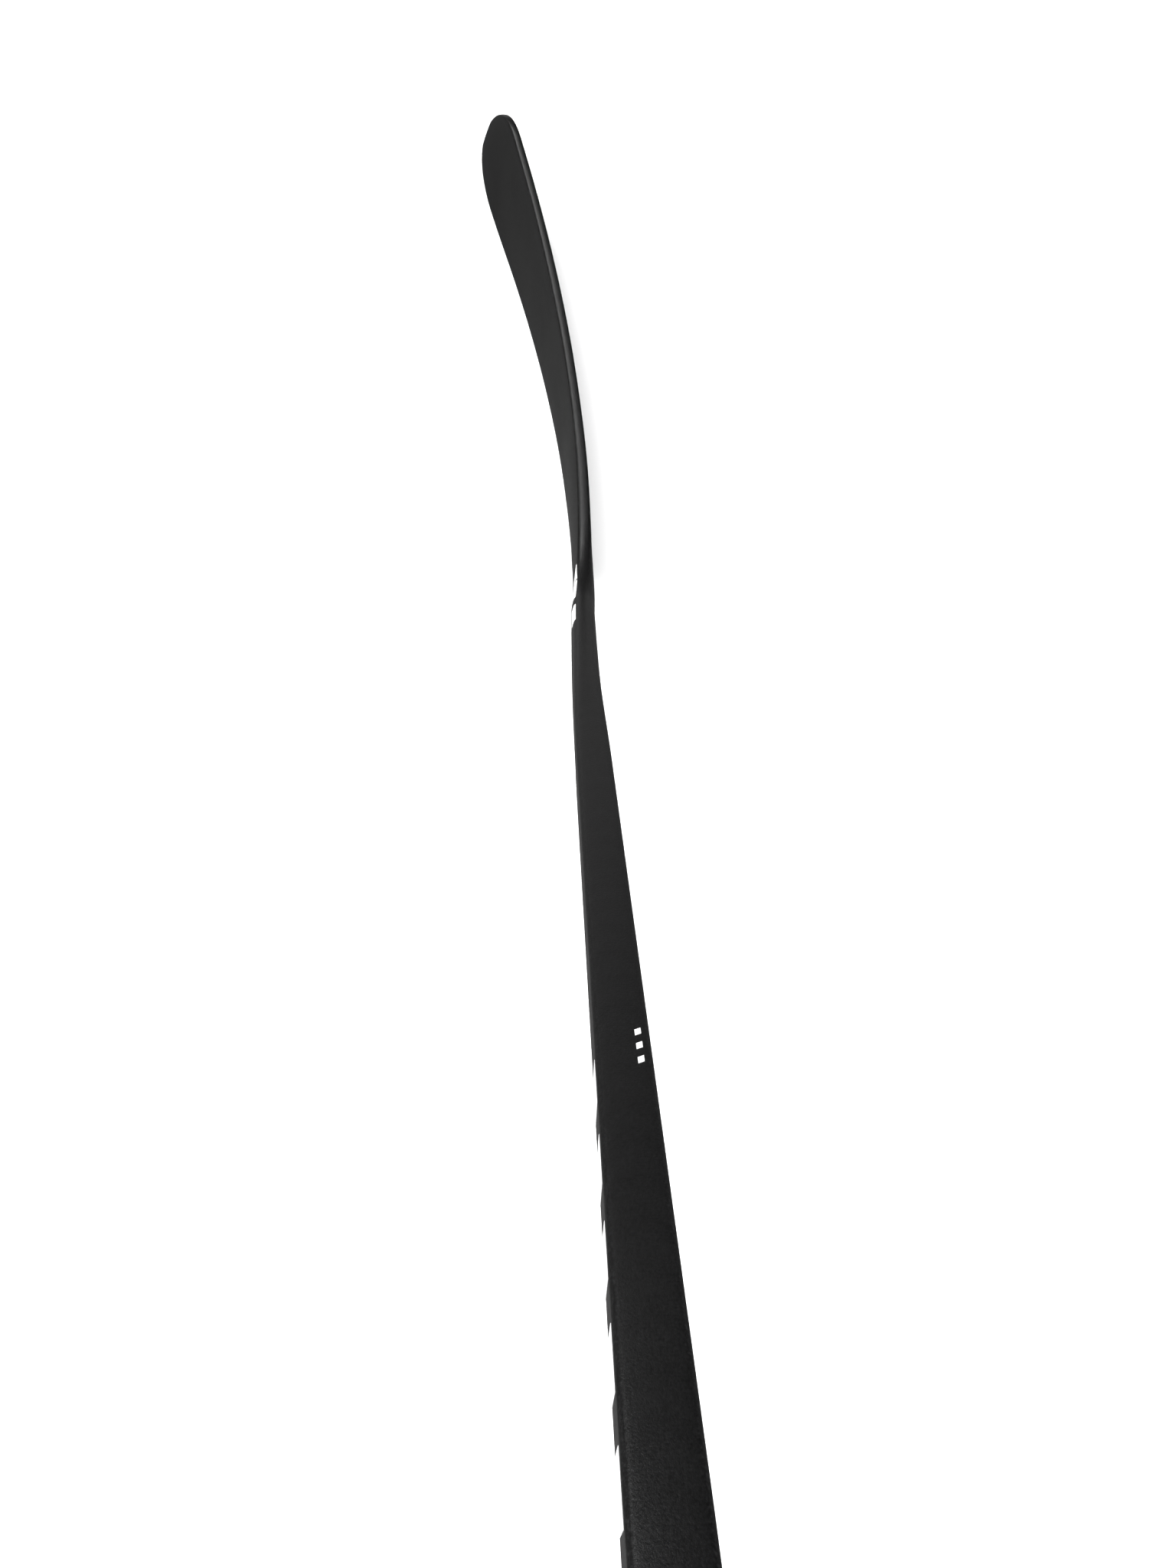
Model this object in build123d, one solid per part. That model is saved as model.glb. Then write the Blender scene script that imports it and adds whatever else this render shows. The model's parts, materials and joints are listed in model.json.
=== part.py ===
from build123d import *

import os
from collections import namedtuple
from math import atan2, cos, exp, log, pi, radians, sin, sqrt

os.makedirs("parts", exist_ok=True)

# A right-handed composite ice hockey stick in its playing pose.
# The origin is the lie point, where the shaft's axis meets the ice.
# +X runs along the ice towards the toe, +Y is the forehand side, +Z is up.
# Lengths are millimetres. "Above" in a name is a distance up the shaft's axis from the lie point.

# shaft
LIE_ANGLE = 47.0
SHAFT_LENGTH = 1515.0
SHAFT_DEPTH = 29.5
SHAFT_WIDTH = 19.5
SHAFT_CORNER = 3.0
SHAFT_WALL = 1.7
TAPER_ABOVE = 625.0
BEVEL_ABOVE = 300.0
OFFSET_ABOVE = 260.0

# neck, where the shaft runs into the blade
JOINT_ABOVE = 190.0
NECK_DEPTH = 24.0
NECK_WIDTH = 14.0
NECK_EDGE = 8.6
THROAT_RADIUS = 70.0
THROAT_SHARE = 60.0

# blade
BLADE_LENGTH = 297.0
HEEL_HEIGHT = 59.0
BLADE_HEIGHT = 75.0
HEEL_BLEND = 8.0
HEEL_WIDTH = 9.1
HEEL_EDGE = 6.4
TOE_WIDTH = 5.7
TOE_EDGE = 5.2
BLADE_CORNER = 1.6
TIP_HEIGHT = 36.0
TOE_TOP_ROUND = 33.0
TOE_SOLE_ROUND = 75.0
TOE_POWER = 2.2
CURVE_OFFSETS = (-2.7, -12.5, 14.3, 50.0)
NECK_LEAN = -4.5
MIDDLE_LEAN = -1.2
TOE_LEAN = -16.1
LEAN_HEIGHT = 70.0

# laminates and what they enclose
NECK_SKIN = 1.9
BLADE_SKIN = 1.2
BOND_GAP = 0.06
FILL_GAP = 0.25
EDGE_TOW = 4.0
RIB_HEIGHT = 4.0
TOE_INSERT = 42.0
TIP_END = 1.0
TIP_WALL = 3.0

# the joint between shaft and blade
TENON_UP = 60.0
TENON_DOWN = 38.0
TENON_WALL = 2.2
BOND_LAYER = 0.35
FOAM_STOP = 40.0
WRAP_REACH = 26.0
WRAP_LAYER = 0.5

# butt end
CAP_THICKNESS = 7.0
CAP_FILLET = 2.5
STEM_LENGTH = 48.0
STEM_WALL = 2.0
STEM_GLUE = 0.6
STEM_RIBS = 5
STEM_RIB_THICKNESS = 1.6

# printed film on the shaft and neck
FILM = 0.12
BARS_BELOW_BREAK = 5
BARS_ABOVE_BREAK = 4
BAR_SPACE = 3.4
BAR_LENGTH = 27.0
BAR_MARGIN = 1.0
BAR_SLANT = 9.0
BAR_SLOT = 3.0
DASH_COUNT = 3
DASH_PITCH = 6.2
DASH_LENGTH = 3.6
DASH_HEIGHT = 2.0
DASH_ABOVE = 474.0
BLOCK_LENGTH = 23.0
BLOCK_HEIGHT = 4.0
BLOCK_WRAP = 35
BLOCK_SPACE = 11.0
BLOCK_SWING = 0.38
TAIL_SPACE = 0.03
TAIL_HEIGHT = 4.0
TAIL_POINT = 0.5
TAIL_END = 0.66

LIE = radians(LIE_ANGLE)
DOWN_SHAFT = Vector(cos(LIE), 0, -sin(LIE))
TOE_SIDE = Vector(sin(LIE), 0, cos(LIE))
FOREHAND = Vector(0, 1, 0)

# The throat is an arc tangent to the neck's toe-side line and to the blade's top edge.
THROAT_Z = HEEL_HEIGHT + THROAT_RADIUS
THROAT_X = (NECK_DEPTH / 2 + THROAT_RADIUS - THROAT_Z * cos(LIE)) / sin(LIE)
NECK_ABOVE = THROAT_Z * sin(LIE) - THROAT_X * cos(LIE)

# One slice across the stick: its toe-side (top) and heel-side (sole) ends in the X-Z plane, the
# sideways place of its middle, its lean, its widths at the ends and the middle, corner and skin.
Section = namedtuple("Section", "top sole offset lean edge width corner skin")


def limit(value):
    return min(max(value, 0.0), 1.0)


def ease(value):
    t = limit(value)
    return t * t * (3 - 2 * t)


def mix(start, end, share):
    return start + (end - start) * share


def curve_offset(share):
    """Sideways place of the blade's middle, as a cubic Bezier curve from the neck to the toe."""
    a, b, c, d = CURVE_OFFSETS
    rest = 1 - share
    return a * rest**3 + 3 * b * rest**2 * share + 3 * c * rest * share**2 + d * share**3


def shaft_section(above):
    """A slice square to the shaft's axis."""
    taper = limit((TAPER_ABOVE - above) / (TAPER_ABOVE - NECK_ABOVE))
    bevel = ease((BEVEL_ABOVE - above) / (BEVEL_ABOVE - NECK_ABOVE))
    bend = 2 * ease((OFFSET_ABOVE - above) / (OFFSET_ABOVE - NECK_ABOVE) / 2)
    depth = mix(SHAFT_DEPTH, NECK_DEPTH, taper)
    width = mix(SHAFT_WIDTH, NECK_WIDTH, taper)
    middle = DOWN_SHAFT * -above
    reach = TOE_SIDE * (depth / 2)
    edge = mix(width, NECK_EDGE, bevel)
    return Section(
        middle + reach, middle - reach, CURVE_OFFSETS[0] * bend, 0.0, edge, width, SHAFT_CORNER, NECK_SKIN
    )


def blend_section(top, sole, travelled):
    """A slice of the throat or the blade, at a distance travelled from the neck."""
    share = travelled / (THROAT_SHARE + BLADE_LENGTH - THROAT_X)
    settle = ease(2.2 * share)
    edge = mix(NECK_EDGE, HEEL_EDGE, settle) + (TOE_EDGE - HEEL_EDGE) * share
    width = mix(NECK_WIDTH, HEEL_WIDTH, settle) + (TOE_WIDTH - HEEL_WIDTH) * share
    lean = NECK_LEAN * ease(3 * share) + MIDDLE_LEAN * share + TOE_LEAN * share**2
    corner = mix(SHAFT_CORNER, BLADE_CORNER, settle)
    skin = mix(NECK_SKIN, BLADE_SKIN, settle)
    return Section(top, sole, curve_offset(share), lean, edge, width, corner, skin)


def throat_section(turn):
    """A slice along a radius of the throat's arc; turn runs from 0 at the neck to 1 at the blade."""
    swing = (pi / 2 - LIE) * turn
    direction = TOE_SIDE * -cos(swing) + DOWN_SHAFT * sin(swing)
    to_heel_side = (THROAT_RADIUS + NECK_DEPTH) / cos(swing)
    to_ice = THROAT_Z / cos(pi / 2 - LIE - swing)
    reach = -HEEL_BLEND * log(exp(-to_heel_side / HEEL_BLEND) + exp(-to_ice / HEEL_BLEND))
    centre = Vector(THROAT_X, 0, THROAT_Z)
    return blend_section(centre + direction * THROAT_RADIUS, centre + direction * reach, THROAT_SHARE * turn)


def blade_section(x):
    """An upright slice of the blade."""
    share = (x - THROAT_X) / (BLADE_LENGTH - THROAT_X)
    full = mix(HEEL_HEIGHT, BLADE_HEIGHT, sin(limit(share / 0.8) * pi / 2))
    top_round = limit((x - BLADE_LENGTH + TOE_TOP_ROUND) / TOE_TOP_ROUND)
    sole_round = limit((x - BLADE_LENGTH + TOE_SOLE_ROUND) / TOE_SOLE_ROUND)
    top = mix(TIP_HEIGHT, full, sqrt(1 - top_round**TOE_POWER))
    sole = TIP_HEIGHT * (1 - sqrt(1 - sole_round**TOE_POWER))
    return blend_section(Vector(x, 0, top), Vector(x, 0, sole), THROAT_SHARE + x - THROAT_X)


def height(section):
    return (section.top - section.sole).length


def half_width(section, share):
    """Half the width at a share of the height: a shallow barrel between the two edges."""
    return section.edge / 2 + (section.width - section.edge) / 2 * (1 - (2 * share - 1) ** 2)


def place(section, up, side):
    """The point at a height up from the sole and a distance to the side of the leaning middle."""
    tall = height(section)
    share = up / tall
    lean = section.lean * (share - 0.5) * min(tall / LEAN_HEIGHT, 1)
    return section.sole + (section.top - section.sole) * share + FOREHAND * (section.offset + lean + side)


def side_profile(section, inset):
    """Half an outline, from sole to top, moved in by an inset and rounded at its corners."""
    tall = height(section)
    corner = max(section.corner - inset, 0.5)
    turns = (0, 30, 60, 90)
    sole_end = [(inset + corner * (1 - cos(radians(t))), corner * (1 - sin(radians(t)))) for t in turns]
    sides = [(tall * share, 0.0) for share in (0.3, 0.5, 0.7)]
    top_end = [(tall - up, cut) for up, cut in reversed(sole_end)]
    return [(up, half_width(section, up / tall) - inset - cut) for up, cut in sole_end + sides + top_end]


def whole(section, inset=0.0):
    """A closed outline, both sides."""
    forehand = side_profile(section, inset)
    backhand = [(up, -side) for up, side in reversed(forehand)]
    return forehand + backhand


def half(section, hand):
    """The forehand (hand 1) or backhand (hand -1) half of an outline, up to the parting line."""
    profile = side_profile(section, 0.0)
    seam = BOND_GAP / 2
    points = [(profile[0][0], seam)] + profile + [(profile[-1][0], seam)]
    return [(up, hand * side) for up, side in points]


def band(section, low, high, inset):
    """A strip between two heights that fills the width inside the skins."""
    tall = height(section)
    low_side = half_width(section, low / tall) - inset
    high_side = half_width(section, high / tall) - inset
    return [(low, low_side), (high, high_side), (high, -high_side), (low, -low_side)]


def run_through(sections, outline):
    """A solid that runs straight from each slice's outline to the next."""
    wires = []
    for section in sections:
        corners = [place(section, up, side) for up, side in outline(section)]
        wires.append(Wire.make_polygon(corners, close=True))
    return Solid.make_loft(wires, ruled=True)


def between(start, end, count):
    return [mix(start, end, i / (count - 1)) for i in range(count)]


def shaft_stations(start, end):
    """Slices down the shaft, close together only where its shape changes."""
    breaks = [TAPER_ABOVE, BEVEL_ABOVE, 275, 250, 230, 210]
    inside = [above for above in breaks if end < above < start]
    return [shaft_section(above) for above in [start] + inside + [end]]


def neck_stations(start):
    return [shaft_section(above) for above in between(start, NECK_ABOVE, 5)]


def throat_stations(start=0.0, end=1.0):
    return [throat_section(turn) for turn in between(start, end, 8)]


def blade_stations(start, end):
    toe = BLADE_LENGTH - TOE_SOLE_ROUND
    body_end = min(end, toe)
    stations = [blade_section(x) for x in between(start, body_end, 13)]
    if end > toe:
        steps = [sin(share * pi / 2) for share in between(0, 1, 12)[1:]]
        stations += [blade_section(mix(toe, end, step)) for step in steps]
    return stations


def inside(section):
    """How far the filling stands in from the outer surface."""
    return section.skin + FILL_GAP


def wrap_stations():
    """Slices under the wrap, centred on the joint."""
    return [shaft_section(above) for above in between(JOINT_ABOVE + WRAP_REACH, JOINT_ABOVE - WRAP_REACH, 9)]


def wrap_relief():
    """What the wrap's seat takes off the shaft and the blade's neck; it runs out past their surface."""
    seat = run_through(wrap_stations(), lambda s: whole(s, WRAP_LAYER + BOND_GAP))
    return run_through(wrap_stations(), lambda s: whole(s, -WRAP_LAYER)) - seat


# ---- shaft ----

def straight_run(inset):
    """The constant length above the taper, with true flat faces."""
    section = shaft_section(SHAFT_LENGTH)
    corners = [place(section, up, side) for up, side in whole(section, inset)]
    end = Face(Wire.make_polygon(corners, close=True))
    return Solid.extrude(end, DOWN_SHAFT * (SHAFT_LENGTH - TAPER_ABOVE))


def make_shaft_tube():
    """A hollow tube: constant above the taper, then narrowing to the joint."""
    tapered = shaft_stations(TAPER_ABOVE, JOINT_ABOVE + BOND_GAP)
    outer = straight_run(0) + run_through(tapered, whole)
    bore = straight_run(SHAFT_WALL) + run_through(tapered, lambda s: whole(s, SHAFT_WALL))
    return outer - bore - wrap_relief()


def make_joint_wrap():
    """A thin carbon wrap, flush with the surface, that ties the shaft to the blade's neck."""
    upper_end = shaft_section(JOINT_ABOVE + WRAP_REACH - BOND_GAP)
    lower_end = shaft_section(JOINT_ABOVE - WRAP_REACH + BOND_GAP)
    sections = [upper_end] + wrap_stations()[1:-1] + [lower_end]
    return run_through(sections, whole) - run_through(sections, lambda s: whole(s, WRAP_LAYER))


def make_tenon():
    """A hollow carbon spigot glued into the shaft and into the blade's neck."""
    upper = shaft_stations(JOINT_ABOVE + TENON_UP, JOINT_ABOVE)
    lower = [shaft_section(above) for above in between(JOINT_ABOVE, JOINT_ABOVE - TENON_DOWN, 3)][1:]
    fit = SHAFT_WALL + BOND_LAYER
    outer = run_through(upper + lower, lambda s: whole(s, fit))
    return outer - run_through(upper + lower, lambda s: whole(s, fit + TENON_WALL))


def make_tenon_bond():
    """The adhesive layer between the tenon and the shaft's bore."""
    sections = shaft_stations(JOINT_ABOVE + TENON_UP, JOINT_ABOVE + BOND_GAP)
    outer = run_through(sections, lambda s: whole(s, SHAFT_WALL + BOND_GAP))
    return outer - run_through(sections, lambda s: whole(s, SHAFT_WALL + BOND_LAYER - BOND_GAP))


def make_foam_stop():
    """A foam plug above the tenon that keeps adhesive out of the shaft."""
    start = JOINT_ABOVE + TENON_UP + BOND_GAP
    return run_through(shaft_stations(start + FOAM_STOP, start), lambda s: whole(s, SHAFT_WALL + BOND_GAP))


# ---- butt end ----

BUTT = Plane(origin=DOWN_SHAFT * -SHAFT_LENGTH, x_dir=TOE_SIDE, z_dir=DOWN_SHAFT * -1)


def make_end_cap():
    """A flange that closes the tube, with a ribbed hollow stem inside it."""
    flange = extrude(BUTT * RectangleRounded(SHAFT_DEPTH, SHAFT_WIDTH, SHAFT_CORNER), CAP_THICKNESS)
    outer_rim = flange.faces().sort_by(Axis((0, 0, 0), BUTT.z_dir))[-1].edges()
    flange = fillet(outer_rim, CAP_FILLET)
    depth = SHAFT_DEPTH - 2 * (SHAFT_WALL + STEM_GLUE)
    width = SHAFT_WIDTH - 2 * (SHAFT_WALL + STEM_GLUE)
    stem = extrude(BUTT * Rectangle(depth, width), -STEM_LENGTH)
    stem -= extrude(BUTT * Rectangle(depth - 2 * STEM_WALL, width - 2 * STEM_WALL), -STEM_LENGTH)
    pitch = STEM_LENGTH / STEM_RIBS
    for i in range(STEM_RIBS):
        level = BUTT.offset(-(i + 0.5) * pitch)
        stem += extrude(level * Rectangle(depth - STEM_WALL, width - STEM_WALL), STEM_RIB_THICKNESS)
    return flange + stem


def make_end_cap_glue():
    """The hot-melt sleeve between the cap's stem and the tube."""
    depth = SHAFT_DEPTH - 2 * (SHAFT_WALL + BOND_GAP)
    width = SHAFT_WIDTH - 2 * (SHAFT_WALL + BOND_GAP)
    bore = 2 * (STEM_GLUE - 2 * BOND_GAP)
    start = BUTT.offset(-BOND_GAP)
    corner = SHAFT_CORNER - SHAFT_WALL
    sleeve = extrude(start * RectangleRounded(depth, width, corner), -STEM_LENGTH)
    return sleeve - extrude(start * Rectangle(depth - bore, width - bore), -STEM_LENGTH)


# ---- blade ----

def blade_body_sections():
    return neck_stations(JOINT_ABOVE)[:-1] + throat_stations()[:-1] + blade_stations(
        THROAT_X, BLADE_LENGTH - TIP_END
    )


def make_skin(hand):
    """Half of the carbon shell, from the joint to the toe, closed at the toe."""
    outer = run_through(blade_body_sections(), lambda s: half(s, hand))
    hollow = neck_stations(JOINT_ABOVE + 1)[:-1] + throat_stations()[:-1]
    hollow += blade_stations(THROAT_X, BLADE_LENGTH - TIP_END - TIP_WALL)
    return outer - run_through(hollow, lambda s: whole(s, s.skin)) - wrap_relief()


def core_sections():
    return blade_stations(THROAT_X + FILL_GAP, BLADE_LENGTH - TOE_INSERT)


def edge_sections():
    low = JOINT_ABOVE - TENON_DOWN - BOND_GAP
    return neck_stations(low)[:-1] + throat_stations()[:-1] + blade_stations(
        THROAT_X, BLADE_LENGTH - TOE_INSERT
    )


def filled(section):
    """The lowest and highest the filling reaches between the skins' folded edges."""
    return inside(section), height(section) - inside(section)


def make_top_tow():
    """A carbon tow along the inside of the top edge, from the tenon to the toe insert."""
    def outline(section):
        low, high = filled(section)
        return band(section, high - EDGE_TOW, high, inside(section) + section.corner / 2)
    return run_through(edge_sections(), outline)


def make_sole_tow():
    """The same along the heel and the sole."""
    def outline(section):
        low, high = filled(section)
        return band(section, low, low + EDGE_TOW, inside(section) + section.corner / 2)
    return run_through(edge_sections(), outline)


def make_neck_core():
    """Foam that fills the neck and heel between the two tows."""
    sections = neck_stations(JOINT_ABOVE - TENON_DOWN - BOND_GAP)[:-1] + throat_stations()

    def outline(section):
        low, high = filled(section)
        step = EDGE_TOW + FILL_GAP
        return band(section, low + step, high - step, inside(section) + (section.width - section.edge) / 4)
    return run_through(sections, outline)


def make_core(upper):
    """Foam above or below the blade's long rib."""
    def outline(section):
        low, high = filled(section)
        step = EDGE_TOW + FILL_GAP
        middle = height(section) / 2
        rib = RIB_HEIGHT / 2 + FILL_GAP
        ends = (middle + rib, high - step) if upper else (low + step, middle - rib)
        return band(section, ends[0], ends[1], inside(section))
    return run_through(core_sections(), outline)


def make_rib():
    """A carbon rib between the two cores that ties the skins together."""
    def outline(section):
        middle = height(section) / 2
        return band(section, middle - RIB_HEIGHT / 2, middle + RIB_HEIGHT / 2, inside(section))
    return run_through(core_sections(), outline)


def make_toe_insert():
    """A dense damping insert that fills the toe."""
    end = BLADE_LENGTH - TIP_END - TIP_WALL - FILL_GAP
    start = BLADE_LENGTH - TOE_INSERT + FILL_GAP
    steps = [sin(share * pi / 2) for share in between(0, 1, 9)]
    sections = [blade_section(mix(start, end, step)) for step in steps]
    return run_through(sections, lambda s: whole(s, inside(s)))


# ---- printed films ----

def face_plane(above, hand):
    """A plane on a wide face: x towards the butt, z outwards. The face is straight above the taper."""
    tapered = atan2((SHAFT_WIDTH - NECK_WIDTH) / 2, TAPER_ABOVE - NECK_ABOVE)
    slope = tapered if above < TAPER_ABOVE else 0.0
    side = shaft_section(above).width / 2
    up = DOWN_SHAFT * -cos(slope) + FOREHAND * (hand * sin(slope))
    out = FOREHAND * (hand * cos(slope)) + DOWN_SHAFT * sin(slope)
    return Plane(origin=DOWN_SHAFT * -above + FOREHAND * (hand * side), x_dir=up, z_dir=out)


def slanted_bar(length, tall, slant):
    """A bar along x whose ends lean by the slant."""
    corners = ((0, -tall / 2), (length - slant, -tall / 2), (length, tall / 2), (slant, tall / 2))
    return Polygon(*corners, align=None)


def make_bars(hand):
    """A row of slanted bars along a wide face, every second one slotted, none across the taper's break."""
    films = []
    first = -BARS_BELOW_BREAK
    for i in range(first, BARS_ABOVE_BREAK):
        start = TAPER_ABOVE + BAR_SPACE / 2 + i * (BAR_LENGTH + BAR_SPACE)
        plane = face_plane(start, hand)
        flat = height(shaft_section(start)) - 2 * SHAFT_CORNER
        bar = slanted_bar(BAR_LENGTH, flat - 2 * BAR_MARGIN, BAR_SLANT)
        if i % 2:
            slot = slanted_bar(BAR_LENGTH - 2 * BAR_SLANT, BAR_SLOT, BAR_SLOT)
            bar -= Pos(BAR_SLANT, 0) * slot
        films += extrude(plane * bar, FILM).solids()
    return Compound(films)


def make_dashes():
    """Small slanted dashes on the toe-side face, close to its backhand corner."""
    films = []
    slope = atan2((SHAFT_DEPTH - NECK_DEPTH) / 2, TAPER_ABOVE - NECK_ABOVE)
    for i in range(DASH_COUNT):
        above = DASH_ABOVE + i * DASH_PITCH
        section = shaft_section(above)
        up = DOWN_SHAFT * -cos(slope) + TOE_SIDE * sin(slope)
        out = TOE_SIDE * cos(slope) + DOWN_SHAFT * sin(slope)
        across = -(section.width / 2 - SHAFT_CORNER - DASH_HEIGHT / 2 - BOND_GAP)
        plane = Plane(origin=section.top + FOREHAND * across, x_dir=up, z_dir=out)
        films += extrude(plane * slanted_bar(DASH_LENGTH, DASH_HEIGHT, DASH_HEIGHT / 2), FILM).solids()
    return Compound(films)


def make_blocks():
    """Two short blocks on the forehand side, one on the neck and one in the throat, and a pointed tail."""
    start = NECK_ABOVE + BLOCK_SPACE
    on_neck = [shaft_section(above) for above in between(start + BLOCK_LENGTH, start, 4)]
    in_throat = [throat_section(turn) for turn in between(0, BLOCK_SWING, 5)]
    in_tail = [throat_section(turn) for turn in between(BLOCK_SWING + TAIL_SPACE, TAIL_END, 5)]

    def film(sections, start_height, end_height):
        heights = iter(between(start_height, end_height, len(sections)))

        def outline(section):
            tall, corner, below = height(section), section.corner, next(heights)
            face = [(up, 0) for up in between(tall - corner - below, tall - corner, 7)]
            turns = [radians(turn) for turn in between(0, BLOCK_WRAP * below / BLOCK_HEIGHT, 7)][1:]
            path = face + [(tall - corner + corner * sin(turn), turn) for turn in turns]

            def layer(gap):
                return [(up + gap * sin(turn),
                         half_width(section, up / tall) - corner + corner * cos(turn) + gap * cos(turn))
                        for up, turn in path]
            return layer(BOND_GAP) + layer(BOND_GAP + FILM)[::-1]
        return run_through(sections, outline)
    blocks = [film(sections, BLOCK_HEIGHT, BLOCK_HEIGHT) for sections in (on_neck, in_throat)]
    return Compound(blocks + [film(in_tail, TAIL_HEIGHT, TAIL_POINT)])


NODES = {
    "shaft_tube": make_shaft_tube,
    "end_cap": make_end_cap,
    "end_cap_glue": make_end_cap_glue,
    "foam_stop": make_foam_stop,
    "joint_wrap": make_joint_wrap,
    "joint_tenon": make_tenon,
    "tenon_bond": make_tenon_bond,
    "blade_forehand_skin": lambda: make_skin(1),
    "blade_backhand_skin": lambda: make_skin(-1),
    "top_edge_tow": make_top_tow,
    "sole_edge_tow": make_sole_tow,
    "neck_core": make_neck_core,
    "upper_blade_core": lambda: make_core(True),
    "lower_blade_core": lambda: make_core(False),
    "blade_rib": make_rib,
    "toe_insert": make_toe_insert,
    "forehand_print": lambda: make_bars(1),
    "backhand_print": lambda: make_bars(-1),
    "toe_side_print": make_dashes,
    "neck_print": make_blocks,
}

for node, make in NODES.items():
    export_step(make(), f"parts/{node}.step")
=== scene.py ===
"""Composite ice hockey stick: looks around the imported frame, laid out as an add-on.

Every length is in metres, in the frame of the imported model: the origin is the point where the shaft's
axis meets the ice, +X runs towards the toe, +Y is the forehand side and +Z is up.
"""

import json
from collections import namedtuple
from math import acos, asin, cos, exp, log, pi, radians, sin, sqrt

import bmesh
import bpy
from bpy.props import FloatProperty, FloatVectorProperty, IntProperty, PointerProperty
from mathutils import Matrix, Vector


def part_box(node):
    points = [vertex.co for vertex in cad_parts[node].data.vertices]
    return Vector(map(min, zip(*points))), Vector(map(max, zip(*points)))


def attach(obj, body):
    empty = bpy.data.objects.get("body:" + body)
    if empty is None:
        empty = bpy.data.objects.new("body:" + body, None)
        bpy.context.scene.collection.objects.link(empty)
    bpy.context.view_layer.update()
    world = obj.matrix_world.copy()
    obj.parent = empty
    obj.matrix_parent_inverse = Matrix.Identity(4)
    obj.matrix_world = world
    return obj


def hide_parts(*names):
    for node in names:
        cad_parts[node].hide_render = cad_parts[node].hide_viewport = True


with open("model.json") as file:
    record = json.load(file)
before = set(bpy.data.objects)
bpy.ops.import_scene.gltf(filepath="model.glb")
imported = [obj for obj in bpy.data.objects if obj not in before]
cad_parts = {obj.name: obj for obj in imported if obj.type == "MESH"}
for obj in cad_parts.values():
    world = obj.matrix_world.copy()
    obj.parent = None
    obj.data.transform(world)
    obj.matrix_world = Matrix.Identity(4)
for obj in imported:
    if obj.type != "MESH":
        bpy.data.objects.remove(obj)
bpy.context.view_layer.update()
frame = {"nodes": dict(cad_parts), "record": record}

bl_info = {
    "name": "Ice hockey stick",
    "version": (1, 0, 0),
    "blender": (4, 5, 0),
    "location": "3D View > Sidebar > Hockey stick",
    "description": "Builds the shaft, blade, prints and stage of a composite hockey stick",
    "category": "Add Mesh",
}

MM = 0.001
MOUNTS = {mount["name"]: mount for mount in frame["record"]["mounts"]}
UP_SHAFT = Vector(MOUNTS["grip"]["axis"]).normalized()
TOE_SIDE = Vector(MOUNTS["toe_side_face"]["axis"]).normalized()
FOREHAND = Vector((0, 1, 0))
LIE = acos(-UP_SHAFT.x)
BLADE_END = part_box("blade_forehand_skin")[1].x
BLADE_TIP_CUT = 1.0 * MM


def length_property(name, value, description):
    return FloatProperty(name=name, default=value, description=description, subtype="DISTANCE", unit="LENGTH")


def colour_property(name, value, description):
    return FloatVectorProperty(name=name, default=value, description=description, size=3, subtype="COLOR")


def share_property(name, value, description):
    return FloatProperty(name=name, default=value, min=0, max=1, description=description, subtype="FACTOR")


class HOCKEY_PG_shaft(bpy.types.PropertyGroup):
    """Sizes of the shaft, from its butt end to the neck."""

    length: length_property("Length", 1.515, "Butt end of the tube to the lie point, along the axis")
    depth: length_property("Depth", 0.0295, "Across the wide faces' height")
    width: length_property("Width", 0.0195, "Across the narrow faces")
    corner: length_property("Corner", 0.0030, "Radius of the long corners")
    wall: length_property("Wall", 0.0017, "Thickness of the tube's wall")
    taper_above: length_property("Taper start", 0.625, "Distance up the axis where the taper starts")
    bevel_above: length_property("Bevel start", 0.300, "Distance up the axis where the edges narrow")
    offset_above: length_property("Offset start", 0.260, "Distance up the axis where the offset starts")
    joint_above: length_property("Joint", 0.190, "Distance up the axis of the joint with the blade")
    wrap_reach: length_property("Wrap reach", 0.026, "How far the wrap covers each side of the joint")
    wrap_layer: length_property("Wrap layer", 0.0005, "Thickness of the joint's wrap")


class HOCKEY_PG_blade(bpy.types.PropertyGroup):
    """Sizes of the neck, throat and blade."""

    neck_depth: length_property("Neck depth", 0.0240, "Depth of the neck where the throat starts")
    neck_width: length_property("Neck width", 0.0140, "Width of the neck at its middle")
    neck_edge: length_property("Neck edge", 0.0086, "Width of the neck at its edges")
    throat_radius: length_property("Throat radius", 0.070, "Radius between the neck and the top edge")
    heel_height: length_property("Heel height", 0.059, "Height of the blade at the heel")
    blade_height: length_property("Blade height", 0.075, "Height of the blade near the toe")
    heel_blend: length_property("Heel blend", 0.008, "Softness of the heel's outer corner")
    heel_width: length_property("Heel width", 0.0091, "Thickness of the heel at its middle")
    heel_edge: length_property("Heel edge", 0.0064, "Thickness of the heel's edges")
    toe_width: length_property("Toe width", 0.0057, "Thickness of the toe at its middle")
    toe_edge: length_property("Toe edge", 0.0052, "Thickness of the toe's edges")
    corner: length_property("Corner", 0.0016, "Radius of the blade's edges")
    tip_height: length_property("Tip height", 0.036, "Height of the foremost point of the toe")
    top_round: length_property("Toe rounding, top", 0.033, "Length over which the top edge comes down")
    sole_round: length_property("Toe rounding, sole", 0.075, "Length over which the sole comes up")
    neck_skin: length_property("Neck skin", 0.0019, "Laminate thickness at the neck")
    blade_skin: length_property("Blade skin", 0.0012, "Laminate thickness in the blade")


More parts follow.
